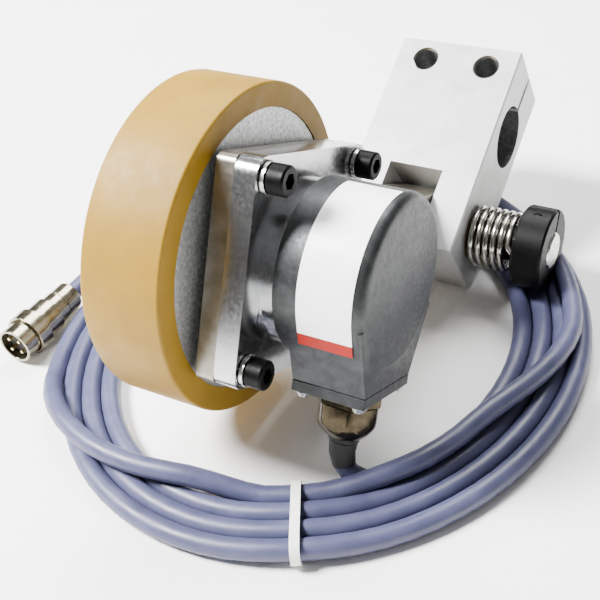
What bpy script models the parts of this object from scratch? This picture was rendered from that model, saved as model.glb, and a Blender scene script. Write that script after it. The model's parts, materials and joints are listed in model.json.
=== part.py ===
"""Measuring-wheel encoder on a sprung clevis arm, with its coiled cable and round plug.

Run with: blender --background --python part.py
Lengths are in metres, +Z is up and the part stands on the plane Z = 0.
The wheel axis lies along X. The encoder's own frame leans back about that axis.
"""

import math

import bmesh
import bpy
from mathutils import Vector

MM = 0.001

# Sides of the round pieces: large ones, middling ones and small ones
FINE = 48
ROUND = 24
SMALL = 12

# Gap kept between pieces that touch, and how far a cutter runs past the face it opens
CLEAR = 0.3 * MM
PAST = 2.0 * MM

# How the part lies: lean of the encoder from upright, and of the clevis from the encoder
LEAN = math.radians(26.0)
CLEVIS_ANGLE = math.radians(32.8)

# Measuring wheel
WHEEL_RADIUS = 48.5 * MM
WHEEL_WIDTH = 25.4 * MM
WHEEL_TO_ARM = 2.6 * MM
TREAD_THICKNESS = 7.0 * MM
TREAD_CHAMFER = 0.7 * MM
HUB_INSET = 0.4 * MM
HUB_RIM = 6.0 * MM
HUB_WEB = 12.0 * MM
HUB_BOSS_RADIUS = 13.0 * MM
SET_SCREW_RADIUS = 2.5 * MM

# Encoder flange, neck and spigot; the flange's cover side is X = 0 in the encoder's frame
BOLT_SQUARE = 52.4 * MM
BOLT_TO_EDGE = 5.55 * MM
FLANGE_SIDE = BOLT_SQUARE + 2 * BOLT_TO_EDGE
FLANGE_THICKNESS = 6.7 * MM
FLANGE_CORNER = 5.0 * MM
NECK_RADIUS = 23.9 * MM
NECK_LENGTH = 4.2 * MM
SPIGOT_LENGTH = 6.0 * MM
ORING_RADIUS = 0.75 * MM

# Flange screws and their lock washers
SCREW_RADIUS = 2.5 * MM
SCREW_HEAD_RADIUS = 4.25 * MM
SCREW_HEAD_HEIGHT = 5.0 * MM
SCREW_SOCKET = 4.0 * MM
WASHER_RADIUS = 4.6 * MM
WASHER_THICKNESS = 1.2 * MM

# Shaft, bearings, code disc and circuit board
SHAFT_RADIUS = 5.0 * MM
BEARING_RADIUS = 9.5 * MM
BEARING_WIDTH = 5.0 * MM
BEARING_SPACER = 3.0 * MM
RACE_THICKNESS = 1.3 * MM
SEAL_RADIUS = 8.2 * MM
SEAL_WIDTH = 2.0 * MM
DISC_HUB_RADIUS = 9.0 * MM
DISC_HUB_LENGTH = 3.2 * MM
DISC_RADIUS = 16.0 * MM
DISC_THICKNESS = 0.8 * MM
HEAD_LENGTH = 2.2 * MM
HEAD_SIDE = 7.0 * MM
BOARD_RADIUS = 20.2 * MM
BOARD_THICKNESS = 1.6 * MM
STANDOFF_RADIUS = 1.8 * MM

# Cover with its lower foot, the plate that closes the foot, and the plate's screws
COVER_RADIUS = 25.4 * MM
COVER_LENGTH = 26.5 * MM
COVER_WALL = 2.4 * MM
COVER_FILLET = 3.0 * MM
FOOT_DROP = 29.2 * MM
FOOT_HALF_WIDTH = 15.0 * MM
FOOT_SETBACK = 4.0 * MM
FOOT_WALL = 5.5 * MM
FOOT_PLATE = 3.0 * MM
PLATE_SCREW_RADIUS = 1.25 * MM
PLATE_SCREW_HEAD_RADIUS = 2.4 * MM
PLATE_SCREW_HEAD_HEIGHT = 1.5 * MM
PLATE_SCREW_LENGTH = 8.0 * MM

# Cable gland
GLAND_THREAD_RADIUS = 5.7 * MM
GLAND_HEX = 17.0 * MM
GLAND_HEX_HEIGHT = 3.6 * MM
GLAND_NUT_HEX = 16.4 * MM
GLAND_NUT_HEIGHT = 10.2 * MM
GLAND_NUT_MOUTH = 5.6 * MM
GLAND_SEAL_RADIUS = 4.6 * MM
GLAND_SEAL_PROUD = 1.6 * MM

# Swing arm and pivot
ARM_LENGTH = 88.9 * MM
ARM_WIDTH = 18.8 * MM
ARM_HEIGHT = 25.4 * MM
ARM_PLATE = 5.7 * MM
ARM_PLATE_SIDE = FLANGE_SIDE - 1.1 * MM
ARM_PLATE_HOLE = 12.0 * MM
PIVOT_RADIUS = 6.35 * MM
BUSH_WALL = 1.6 * MM

# Clevis block
CLEVIS_LEG = 12.7 * MM
CLEVIS_SIDE_GAP = 0.4 * MM
CLEVIS_DEPTH = 31.75 * MM
CLEVIS_LENGTH = 78.5 * MM
PIVOT_TO_FOOT = 14.5 * MM
SLOT_ROOF = 14.2 * MM
CLAMP_BORE_RADIUS = 11.1 * MM
CLAMP_BORE_FROM_TOP = 25.2 * MM
CLAMP_SLIT = 1.8 * MM
CLAMP_HOLE_RADIUS = 4.0 * MM
CLAMP_HOLE_SPACING = 23.0 * MM
CLAMP_HOLE_FROM_TOP = 7.8 * MM
EDGE_BREAK = 0.5 * MM

# Torsion spring and shaft collar on the pivot
SPRING_RADIUS = 9.6 * MM
SPRING_WIRE = 1.0 * MM
SPRING_TURNS = 5
SPRING_LENGTH = 17.2 * MM
COLLAR_RADIUS = 14.0 * MM
COLLAR_WIDTH = 10.3 * MM
COLLAR_EDGE = 0.7 * MM
COLLAR_SLIT = 1.5 * MM
COLLAR_SCREW_RADIUS = 2.0 * MM
COLLAR_SCREW_OFFSET = 10.3 * MM
COLLAR_SCREW_LENGTH = 14.0 * MM
SHAFT_PROUD = 0.6 * MM

# Cable, its coil on the floor, the tie and the plug; places are from the point under the wheel axis
CABLE_RADIUS = 3.2 * MM
COIL_CENTRE = Vector((-14.5, 31.0)) * MM
COIL_HALF_WIDTH = 86.5 * MM
COIL_HALF_DEPTH = 97.0 * MM
COIL_BAND_X = 25.0 * MM
COIL_BAND_FRONT = 27.0 * MM
COIL_BAND_BACK = 21.0 * MM
COIL_TALL = 13.2 * MM
COIL_LOW = 6.8 * MM
CROSSING_ANGLE = math.radians(235.0)
CROSSING_REACH = math.radians(40.0)
TIE_ANGLE = math.radians(-65.0)
TIE_WIDTH = 2.8 * MM
TIE_THICKNESS = 1.1 * MM
TIE_SLACK = 0.6 * MM
PLUG_PLACE = Vector((-110.0, -20.0)) * MM
PLUG_RADIUS = 6.5 * MM
PLUG_WALL = 0.9 * MM
PLUG_LENGTH = 12.0 * MM
PLUG_INSERT_DEPTH = 3.0 * MM
PLUG_RING_RADIUS = 7.7 * MM
PLUG_RING_WIDTH = 5.6 * MM
PLUG_BACK_LENGTH = 12.0 * MM
PLUG_NUT_RADIUS = 5.4 * MM
PLUG_NUT_LENGTH = 7.0 * MM
PIN_RADIUS = 0.6 * MM
PIN_CIRCLE = 3.1 * MM
PIN_LENGTH = 2.3 * MM

# Places worked out from the sizes above, along the encoder's own X
ARM_FRONT = -FLANGE_THICKNESS - CLEAR
ARM_BACK = ARM_FRONT - ARM_PLATE
WHEEL_FRONT = ARM_BACK - WHEEL_TO_ARM
WHEEL_BACK = WHEEL_FRONT - WHEEL_WIDTH
WHEEL_BORE = SHAFT_RADIUS + CLEAR
HUB_RADIUS = WHEEL_RADIUS - TREAD_THICKNESS - CLEAR
HUB_BACK = WHEEL_BACK + HUB_INSET
COVER_START = NECK_LENGTH + CLEAR
COVER_END = COVER_START + COVER_LENGTH
COVER_INNER_RADIUS = COVER_RADIUS - COVER_WALL
SPIGOT_RADIUS = COVER_INNER_RADIUS - CLEAR
SPIGOT_END = NECK_LENGTH + SPIGOT_LENGTH
FOOT_START = COVER_START + FOOT_SETBACK
FOOT_MIDDLE = (FOOT_START + COVER_END) / 2
PLATE_TOP = -FOOT_DROP - CLEAR
PLATE_BOTTOM = PLATE_TOP - FOOT_PLATE
GLAND_TOP = PLATE_BOTTOM - CLEAR
GLAND_HEX_END = GLAND_TOP - GLAND_HEX_HEIGHT
GLAND_NUT_TOP = GLAND_HEX_END - CLEAR
GLAND_NUT_END = GLAND_NUT_TOP - GLAND_NUT_HEIGHT
GLAND_SEAL_END = GLAND_NUT_END - GLAND_SEAL_PROUD
CABLE_HOLE = CABLE_RADIUS + CLEAR
BOLT_OFFSET = BOLT_SQUARE / 2
ARM_MIDDLE = ARM_BACK + ARM_WIDTH / 2
SLOT_WIDTH = ARM_WIDTH + 2 * CLEVIS_SIDE_GAP
CLEVIS_LEFT = ARM_MIDDLE - SLOT_WIDTH / 2 - CLEVIS_LEG
CLEVIS_RIGHT = ARM_MIDDLE + SLOT_WIDTH / 2 + CLEVIS_LEG
BUSH_RADIUS = PIVOT_RADIUS + CLEAR + BUSH_WALL
COLLAR_START = CLEVIS_RIGHT + CLEAR + SPRING_LENGTH + CLEAR
COLLAR_END = COLLAR_START + COLLAR_WIDTH
PIVOT_END = COLLAR_END + SHAFT_PROUD

# Places in the standing part: the lowest edge of the clevis is on the floor, the box is centred
CLEVIS_TILT = LEAN + CLEVIS_ANGLE
CLEVIS_TOP = CLEVIS_LENGTH - PIVOT_TO_FOOT
CORNER_LOSS = EDGE_BREAK * min(math.cos(CLEVIS_TILT), math.sin(CLEVIS_TILT))
PIVOT_Y = ARM_LENGTH * math.cos(LEAN)
PIVOT_HEIGHT = (
    PIVOT_TO_FOOT * math.cos(CLEVIS_TILT)
    + CLEVIS_DEPTH / 2 * math.sin(CLEVIS_TILT)
    - CORNER_LOSS
)
AXIS_HEIGHT = PIVOT_HEIGHT + ARM_LENGTH * math.sin(LEAN)
BACK_Y = (
    PIVOT_Y
    + CLEVIS_TOP * math.sin(CLEVIS_TILT)
    + CLEVIS_DEPTH / 2 * math.cos(CLEVIS_TILT)
    - CORNER_LOSS
)
MIDDLE_X = (PIVOT_END + WHEEL_BACK) / 2
MIDDLE_Y = (BACK_Y - WHEEL_RADIUS) / 2


# Scene, frames and materials

for old in list(bpy.data.objects):
    bpy.data.objects.remove(old)


def frame(name, place, parent=None, turn_x=0.0, turn_z=0.0):
    """An empty that carries pieces: a joint axis, or a part of the assembly with its own lean."""
    empty = bpy.data.objects.new(name, None)
    bpy.context.scene.collection.objects.link(empty)
    empty.location = place
    empty.rotation_euler = (turn_x, 0.0, turn_z)
    empty.parent = parent
    return empty


def material(name, colour, roughness, metallic=0.0):
    made = bpy.data.materials.new(name)
    made.use_nodes = True
    shader = made.node_tree.nodes["Principled BSDF"]
    shader.inputs["Base Color"].default_value = (*colour, 1.0)
    shader.inputs["Roughness"].default_value = roughness
    shader.inputs["Metallic"].default_value = metallic
    return made


MACHINED = material("machined_aluminium", (0.72, 0.72, 0.72), 0.3, 1.0)
CAST = material("die_cast_aluminium", (0.33, 0.34, 0.35), 0.55, 1.0)
STEEL = material("bright_steel", (0.62, 0.61, 0.58), 0.25, 1.0)
BLACK_STEEL = material("black_oxide_steel", (0.02, 0.02, 0.022), 0.4, 0.6)
NICKEL = material("nickel_plate", (0.66, 0.62, 0.54), 0.22, 1.0)
BRONZE = material("sintered_bronze", (0.5, 0.34, 0.16), 0.5, 1.0)
TREAD = material("tan_polyurethane", (0.62, 0.45, 0.23), 0.6)
RUBBER = material("black_rubber", (0.02, 0.02, 0.02), 0.7)
CABLE = material("lilac_grey_pvc", (0.32, 0.33, 0.47), 0.45)
NYLON = material("white_nylon", (0.85, 0.85, 0.84), 0.5)
BOARD = material("green_board", (0.03, 0.2, 0.07), 0.5)
GLASS_DISC = material("printed_disc", (0.25, 0.25, 0.27), 0.2, 0.4)
PINS = material("gold_plate", (0.83, 0.68, 0.4), 0.25, 1.0)

floor_frame = frame("floor_frame", (-MIDDLE_X, -MIDDLE_Y, 0.0))
encoder_frame = frame("encoder_frame", (0.0, 0.0, AXIS_HEIGHT), floor_frame, turn_x=-LEAN)
wheel_axis = frame("wheel_axis", (0.0, 0.0, 0.0), encoder_frame)
pivot_axis = frame("pivot_axis", (0.0, ARM_LENGTH, 0.0), encoder_frame)
clevis_frame = frame("clevis_frame", (0.0, 0.0, 0.0), pivot_axis, turn_x=-CLEVIS_ANGLE)
gland_frame = frame("gland_frame", (FOOT_MIDDLE, 0.0, 0.0), encoder_frame)
plug_frame = frame(
    "plug_frame",
    (PLUG_PLACE.x, PLUG_PLACE.y, PLUG_RING_RADIUS),
    floor_frame,
    turn_z=math.pi / 2,
)


# Modelling helpers

SMOOTH_ANGLE = math.radians(35.0)


def place(name, mesh, parent, finish, location=(0.0, 0.0, 0.0)):
    """Turns a bmesh into a named object under its frame."""
    bmesh.ops.recalc_face_normals(mesh, faces=mesh.faces)
    data = bpy.data.meshes.new(name)
    mesh.to_mesh(data)
    mesh.free()
    data.shade_smooth()
    data.set_sharp_from_angle(angle=SMOOTH_ANGLE)
    data.materials.append(finish)
    return place_mesh(name, data, parent, location)


def place_mesh(name, data, parent, location=(0.0, 0.0, 0.0)):
    """Places an object on mesh data, which several copies may share."""
    piece = bpy.data.objects.new(name, data)
    bpy.context.scene.collection.objects.link(piece)
    piece.parent = parent
    piece.location = location
    return piece


def turned(name, profile, parent, finish, sides=ROUND, along="X", location=(0.0, 0.0, 0.0)):
    """Turns a profile of (place along the axis, radius); a ring when it never meets the axis."""
    mesh = bmesh.new()
    rings = []
    for along_axis, radius in profile:
        ring = []
        for step in range(sides if radius > 0 else 1):
            angle = 2 * math.pi * step / sides
            a = radius * math.cos(angle)
            b = radius * math.sin(angle)
            point = {"X": (along_axis, a, b), "Y": (b, along_axis, a), "Z": (a, b, along_axis)}[along]
            ring.append(mesh.verts.new(point))
        rings.append(ring)
    bands = list(zip(rings, rings[1:]))
    if profile[0][1] > 0:
        bands.append((rings[-1], rings[0]))
    for first, second in bands:
        for step in range(sides):
            after = (step + 1) % sides
            corners = [first[step % len(first)], first[after % len(first)]]
            corners += [second[after % len(second)], second[step % len(second)]]
            mesh.faces.new(list(dict.fromkeys(corners)))
    return place(name, mesh, parent, finish, location)


def tube(name, start, end, inner, outer, parent, finish, sides=ROUND, along="X", location=(0, 0, 0)):
    """A plain ring: two faces, an outside and a bore."""
    profile = [(start, inner), (start, outer), (end, outer), (end, inner)]
    return turned(name, profile, parent, finish, sides, along, location)


def rod(name, start, end, radius, parent, finish, sides=ROUND, along="X", location=(0, 0, 0), edge=0.0):
    """A plain pin, with an optional chamfer at both ends."""
    profile = [(start, 0.0), (start, radius - edge), (start + edge, radius)]
    profile += [(end - edge, radius), (end, radius - edge), (end, 0.0)]
    if not edge:
        profile = [(start, 0.0), (start, radius), (end, radius), (end, 0.0)]
    return turned(name, profile, parent, finish, sides, along, location)


def prism(name, outline, low, high, parent, finish, along="X", location=(0, 0, 0)):
    """Extrudes an outline of two coordinates along the third."""
    mesh = bmesh.new()
    ends = []
    for level in (low, high):
        corners = []
        for a, b in outline:
            point = {"X": (level, a, b), "Y": (a, level, b), "Z": (a, b, level)}[along]
            corners.append(mesh.verts.new(point))
        ends.append(corners)
    count = len(outline)
    for step in range(count):
        after = (step + 1) % count
        mesh.faces.new((ends[0][step], ends[0][after], ends[1][after], ends[1][step]))
    mesh.faces.new(ends[0])
    mesh.faces.new(ends[1])
    return place(name, mesh, parent, finish, location)


def block(name, low, high, parent, finish, location=(0, 0, 0)):
    outline = [(low[1], low[2]), (high[1], low[2]), (high[1], high[2]), (low[1], high[2])]
    return prism(name, outline, low[0], high[0], parent, finish, location=location)


def rounded_square(half, corner, steps=4):
    """Outline of a square with arcs at its corners."""
    outline = []
    for quarter in range(4):
        turn = quarter * math.pi / 2
        sx = 1 if quarter in (0, 3) else -1
        sy = 1 if quarter in (0, 1) else -1
        for step in range(steps + 1):
            angle = turn + step * math.pi / 2 / steps
            a = sx * (half - corner) + corner * math.cos(angle)
            b = sy * (half - corner) + corner * math.sin(angle)
            outline.append((a, b))
    return outline


def hexagon(across_flats):
    radius = across_flats / math.sqrt(3.0)
    return [
        (radius * math.cos(step * math.pi / 3), radius * math.sin(step * math.pi / 3))
        for step in range(6)
    ]


def combine(piece, tool, operation):
    """Adds, cuts or crosses a piece with a tool, which then stays as a hidden guide."""
    tool.hide_render = True
    tool.display_type = "WIRE"
    step = piece.modifiers.new(tool.name, "BOOLEAN")
    step.operation = operation
    step.object = tool
    step.solver = "EXACT"


def cut(piece, tool):
    combine(piece, tool, "DIFFERENCE")


def join(piece, tool):
    combine(piece, tool, "UNION")


def cross(piece, tool):
    combine(piece, tool, "INTERSECT")


def finished_mesh(piece):
    """The mesh of a piece with its modifiers done, for copies to share."""
    bpy.context.view_layer.update()
    done = piece.evaluated_get(bpy.context.evaluated_depsgraph_get())
    return bpy.data.meshes.new_from_object(done)


def corners(offset):
    """The four corners of a square pattern, in order."""
    return [(offset, offset), (offset, -offset), (-offset, offset), (-offset, -offset)]


# Measuring wheel: a cast hub with a moulded tread, held on the encoder's shaft by a set screw


def make_wheel():
    inner = WHEEL_RADIUS - TREAD_THICKNESS
    edge = WHEEL_RADIUS - TREAD_CHAMFER
    tread = [(WHEEL_BACK, inner), (WHEEL_BACK, edge), (WHEEL_BACK + TREAD_CHAMFER, WHEEL_RADIUS)]
    tread += [(WHEEL_FRONT - TREAD_CHAMFER, WHEEL_RADIUS), (WHEEL_FRONT, edge), (WHEEL_FRONT, inner)]
    turned("wheel_tread", tread, wheel_axis, TREAD, sides=FINE)

    hub_front = WHEEL_FRONT - HUB_INSET
    web_back = hub_front - HUB_WEB
    hub = [(hub_front, WHEEL_BORE), (hub_front, HUB_RADIUS), (HUB_BACK, HUB_RADIUS)]
    hub += [(HUB_BACK, HUB_RADIUS - HUB_RIM), (web_back, HUB_RADIUS - HUB_RIM)]
    hub += [(web_back, HUB_BOSS_RADIUS), (HUB_BACK, HUB_BOSS_RADIUS), (HUB_BACK, WHEEL_BORE)]
    wheel = turned("wheel_hub", hub, wheel_axis, CAST, sides=FINE)
    screw_place = ((HUB_BACK + web_back) / 2, 0.0, 0.0)
    hole = rod(
        "set_screw_hole", SHAFT_RADIUS / 2, HUB_BOSS_RADIUS + PAST, SET_SCREW_RADIUS + CLEAR,
        wheel_axis, CAST, sides=SMALL, along="Z", location=screw_place,
    )
    cut(wheel, hole)
    rod(
        "hub_set_screw", SHAFT_RADIUS + CLEAR, HUB_BOSS_RADIUS, SET_SCREW_RADIUS,
        wheel_axis, BLACK_STEEL, sides=SMALL, along="Z", location=screw_place, edge=CLEAR,
    )


# Encoder shaft, code disc and bearings


def make_shaft():
    seal_start = -FLANGE_THICKNESS + CLEAR
    first = seal_start + SEAL_WIDTH + CLEAR
    second = first + BEARING_WIDTH + BEARING_SPACER
    hub_start = SPIGOT_END + 2 * CLEAR
    disc_start = hub_start + DISC_HUB_LENGTH + CLEAR
    disc_end = disc_start + DISC_THICKNESS
    bore = SHAFT_RADIUS + CLEAR
    rod("encoder_shaft", HUB_BACK, disc_end, SHAFT_RADIUS, wheel_axis, STEEL, edge=CLEAR)
    tube("disc_hub", hub_start, hub_start + DISC_HUB_LENGTH, bore, DISC_HUB_RADIUS, wheel_axis, MACHINED)
    tube("code_disc", disc_start, disc_end, bore, DISC_RADIUS, wheel_axis, GLASS_DISC)
    tube("shaft_seal", seal_start, seal_start + SEAL_WIDTH, bore, SEAL_RADIUS, encoder_frame, RUBBER)
    inner_race = bore + RACE_THICKNESS
    outer_race = BEARING_RADIUS - RACE_THICKNESS
    for label, start in (("front", first), ("rear", second)):
        end = start + BEARING_WIDTH
        tube(label + "_bearing_outer_race", start, end, outer_race, BEARING_RADIUS, encoder_frame, STEEL)
        tube(label + "_bearing_inner_race", start, end, bore, inner_race, wheel_axis, STEEL)
        tube(
            label + "_bearing_balls", start + CLEAR, end - CLEAR,
            inner_race + CLEAR, outer_race - CLEAR, encoder_frame, STEEL,
        )
    return disc_end


# Flange with its bolts: a square plate, a round neck and a spigot bored for the bearings


def make_flange():
    half = FLANGE_SIDE / 2
    outline = rounded_square(half, FLANGE_CORNER)
    flange = prism("encoder_flange", outline, -FLANGE_THICKNESS, 0.0, encoder_frame, MACHINED)
    groove = ORING_RADIUS * 2 + CLEAR
    groove_start = NECK_LENGTH + SPIGOT_LENGTH / 2 - groove / 2
    groove_radius = SPIGOT_RADIUS - groove
    profile = [(-FLANGE_THICKNESS / 2, 0.0), (-FLANGE_THICKNESS / 2, NECK_RADIUS)]
    profile += [(NECK_LENGTH, NECK_RADIUS), (NECK_LENGTH, SPIGOT_RADIUS)]
    profile += [(groove_start, SPIGOT_RADIUS), (groove_start, groove_radius)]
    profile += [(groove_start + groove, groove_radius), (groove_start + groove, SPIGOT_RADIUS)]
    profile += [(SPIGOT_END, SPIGOT_RADIUS), (SPIGOT_END, 0.0)]
    join(flange, turned("neck_and_spigot", profile, encoder_frame, MACHINED, sides=FINE))
    shoulder = -FLANGE_THICKNESS + CLEAR + SEAL_WIDTH
    seat = BEARING_RADIUS + CLEAR
    bore = [(-FLANGE_THICKNESS - PAST, 0.0), (-FLANGE_THICKNESS - PAST, SEAL_RADIUS + CLEAR)]
    bore += [(shoulder, SEAL_RADIUS + CLEAR), (shoulder, seat)]
    bore += [(SPIGOT_END + PAST, seat), (SPIGOT_END + PAST, 0.0)]
    cut(flange, turned("bearing_bore", bore, encoder_frame, MACHINED, sides=ROUND))
    oring = []
    for step in range(6):
        angle = 2 * math.pi * step / 6
        middle = SPIGOT_RADIUS + CLEAR / 2 - ORING_RADIUS
        x = groove_start + groove / 2 + ORING_RADIUS * math.sin(angle)
        oring.append((x, middle + ORING_RADIUS * math.cos(angle)))
    turned("cover_oring", oring, encoder_frame, RUBBER, sides=FINE)
    return flange


def make_flange_bolts(*drilled):
    head_start = 2 * CLEAR + WASHER_THICKNESS
    head_end = head_start + SCREW_HEAD_HEIGHT
    edge = SCREW_HEAD_HEIGHT / 10
    profile = [(ARM_BACK, 0.0), (ARM_BACK, SCREW_RADIUS), (head_start, SCREW_RADIUS)]
    profile += [(head_start, SCREW_HEAD_RADIUS), (head_end - edge, SCREW_HEAD_RADIUS)]
    profile += [(head_end, SCREW_HEAD_RADIUS - edge), (head_end, 0.0)]
    pattern = turned("screw_blank", profile, encoder_frame, BLACK_STEEL)
    socket = prism(
        "screw_socket", hexagon(SCREW_SOCKET), head_start + SCREW_HEAD_HEIGHT / 2, head_end + PAST,
        encoder_frame, BLACK_STEEL,
    )
    cut(pattern, socket)
    screw = finished_mesh(pattern)
    pattern.hide_render = True
    pattern.display_type = "WIRE"
    for number, (y, z) in enumerate(corners(BOLT_OFFSET), 1):
        spot = (0.0, y, z)
        place_mesh(f"flange_screw_{number}", screw, encoder_frame, spot)
        tube(
            f"lock_washer_{number}", CLEAR, CLEAR + WASHER_THICKNESS, SCREW_RADIUS + CLEAR,
            WASHER_RADIUS, encoder_frame, STEEL, location=spot,
        )
        hole = rod(
            f"screw_hole_{number}", ARM_BACK - PAST, PAST, SCREW_RADIUS + CLEAR,
            encoder_frame, STEEL, location=spot,
        )
        for piece in drilled:
            cut(piece, hole)


# Swing arm: a thick bar with a round pivot eye, milled down to the plate behind the flange


def make_arm():
    half = ARM_PLATE_SIDE / 2
    plate = rounded_square(half, FLANGE_CORNER / 2)
    arm = prism("swing_arm", plate, ARM_BACK, ARM_FRONT, encoder_frame, MACHINED)
    bar_start = FLANGE_SIDE / 2 + CLEAR * 4
    bar = [(bar_start, -ARM_HEIGHT / 2), (ARM_LENGTH, -ARM_HEIGHT / 2)]
    steps = 16
    for step in range(1, steps):
        angle = -math.pi / 2 + math.pi * step / steps
        y = ARM_LENGTH + ARM_HEIGHT / 2 * math.cos(angle)
        bar.append((y, ARM_HEIGHT / 2 * math.sin(angle)))
    bar += [(ARM_LENGTH, ARM_HEIGHT / 2), (bar_start, ARM_HEIGHT / 2)]
    join(arm, prism("arm_bar", bar, ARM_BACK, ARM_BACK + ARM_WIDTH, encoder_frame, MACHINED))
    tongue_low = (ARM_BACK, half - FLANGE_CORNER, -ARM_HEIGHT / 2)
    tongue_high = (ARM_FRONT, bar_start + FLANGE_CORNER, ARM_HEIGHT / 2)
    join(arm, block("arm_tongue", tongue_low, tongue_high, encoder_frame, MACHINED))
    shaft_hole = rod(
        "arm_shaft_hole", ARM_BACK - PAST, ARM_FRONT + PAST, ARM_PLATE_HOLE,
        encoder_frame, MACHINED,
    )
    cut(arm, shaft_hole)
    eye = rod(
        "arm_eye", ARM_BACK - PAST, ARM_BACK + ARM_WIDTH + PAST, PIVOT_RADIUS + CLEAR,
        pivot_axis, MACHINED,
    )
    cut(arm, eye)
    return arm


# Pivot: shaft, bushes in the clevis, torsion spring and clamp collar


def make_pivot():
    rod("pivot_shaft", CLEVIS_LEFT + CLEAR, PIVOT_END, PIVOT_RADIUS, pivot_axis, STEEL, edge=CLEAR * 2)
    inner = PIVOT_RADIUS + CLEAR
    slot_left = CLEVIS_LEFT + CLEVIS_LEG
    slot_right = CLEVIS_RIGHT - CLEVIS_LEG
    tube("left_pivot_bush", CLEVIS_LEFT, slot_left, inner, BUSH_RADIUS, clevis_frame, BRONZE)
    tube("right_pivot_bush", slot_right, CLEVIS_RIGHT, inner, BUSH_RADIUS, clevis_frame, BRONZE)

    rim = COLLAR_RADIUS - COLLAR_EDGE
    profile = [(COLLAR_START, inner), (COLLAR_START, rim), (COLLAR_START + COLLAR_EDGE, COLLAR_RADIUS)]
    profile += [(COLLAR_END - COLLAR_EDGE, COLLAR_RADIUS), (COLLAR_END, rim), (COLLAR_END, inner)]
    collar = turned("shaft_collar", profile, pivot_axis, BLACK_STEEL, sides=FINE)
    slit_low = (COLLAR_START - PAST, -COLLAR_SLIT / 2, PIVOT_RADIUS / 2)
    slit_high = (COLLAR_END + PAST, COLLAR_SLIT / 2, COLLAR_RADIUS + PAST)
    cut(collar, block("collar_slit", slit_low, slit_high, pivot_axis, BLACK_STEEL))
    screw_place = ((COLLAR_START + COLLAR_END) / 2, 0.0, COLLAR_SCREW_OFFSET)
    half = COLLAR_SCREW_LENGTH / 2
    hole = rod(
        "collar_screw_hole", -half - CLEAR, COLLAR_RADIUS, COLLAR_SCREW_RADIUS + CLEAR,
        pivot_axis, BLACK_STEEL, sides=SMALL, along="Y", location=screw_place,
    )
    cut(collar, hole)
    rod(
        "collar_screw", -half, half, COLLAR_SCREW_RADIUS, pivot_axis, BLACK_STEEL,
        sides=SMALL, along="Y", location=screw_place, edge=CLEAR,
    )


def make_spring():
    """A helix of round wire whose last end turns along the shaft to meet the collar."""
    curve = bpy.data.curves.new("torsion_spring", "CURVE")
    curve.dimensions = "3D"
    curve.bevel_depth = SPRING_WIRE
    curve.bevel_resolution = 1
    curve.use_fill_caps = True
    per_turn = SMALL
    start = CLEVIS_RIGHT + CLEAR + SPRING_WIRE
    tail = SPRING_WIRE * 3
    rise = SPRING_LENGTH - SPRING_WIRE - tail
    points = []
    for step in range(SPRING_TURNS * per_turn + 1):
        share = step / (SPRING_TURNS * per_turn)
        angle = -2 * math.pi * SPRING_TURNS * share - math.pi * 0.6
        away = Vector((0.0, math.cos(angle), math.sin(angle))) * SPRING_RADIUS
        points.append((start + rise * share, away.y, away.z))
    last = Vector(points[-1])
    turn = (last - Vector(points[-2])).normalized() * SPRING_WIRE * 1.5
    points.append(tuple(last + turn + Vector((SPRING_WIRE * 0.8, 0.0, 0.0))))
    points.append(tuple(last + turn * 1.4 + Vector((tail, 0.0, 0.0))))
    line = curve.splines.new("POLY")
    line.points.add(len(points) - 1)
    for spot, point in zip(line.points, points):
        spot.co = (*point, 1.0)
    curve.materials.append(STEEL)
    spring = bpy.data.objects.new("torsion_spring", curve)
    bpy.context.scene.collection.objects.link(spring)
    spring.parent = pivot_axis


# Clevis block: two legs round the arm, a split clamp bore and its two screw holes


def make_clevis():
    half = CLEVIS_DEPTH / 2
    low = (CLEVIS_LEFT, -half, -PIVOT_TO_FOOT)
    high = (CLEVIS_RIGHT, half, CLEVIS_TOP)
    clevis = block("clevis_block", low, high, clevis_frame, MACHINED)
    edge = clevis.modifiers.new("edge", "BEVEL")
    edge.width = EDGE_BREAK
    edge.segments = 1
    slot_low = (CLEVIS_LEFT + CLEVIS_LEG, -half - PAST, -PIVOT_TO_FOOT - PAST)
    slot_high = (CLEVIS_RIGHT - CLEVIS_LEG, half + PAST, SLOT_ROOF)
    cut(clevis, block("clevis_slot", slot_low, slot_high, clevis_frame, MACHINED))
    past_left = CLEVIS_LEFT - PAST
    past_right = CLEVIS_RIGHT + PAST
    bush_bore = BUSH_RADIUS + CLEAR
    cut(clevis, rod("clevis_pivot_bore", past_left, past_right, bush_bore, clevis_frame, MACHINED))
    bore_height = CLEVIS_TOP - CLAMP_BORE_FROM_TOP
    bore_place = (0.0, 0.0, bore_height)
    bore = rod(
        "clamp_bore", past_left, past_right, CLAMP_BORE_RADIUS, clevis_frame, MACHINED,
        sides=FINE, location=bore_place,
    )
    cut(clevis, bore)
    slit_low = (past_left, -CLAMP_SLIT / 2, bore_height)
    slit_high = (past_right, CLAMP_SLIT / 2, CLEVIS_TOP + PAST)
    cut(clevis, block("clamp_slit", slit_low, slit_high, clevis_frame, MACHINED))
    middle = (CLEVIS_LEFT + CLEVIS_RIGHT) / 2
    for side in (-1, 1):
        spot = (middle + side * CLAMP_HOLE_SPACING / 2, 0.0, CLEVIS_TOP - CLAMP_HOLE_FROM_TOP)
        hole = rod(
            f"clamp_hole_{side}", -half - PAST, half + PAST, CLAMP_HOLE_RADIUS,
            clevis_frame, MACHINED, along="Y", location=spot,
        )
        cut(clevis, hole)


# Cover: a turned cup with a flared foot, closed below by a screwed plate


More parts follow.
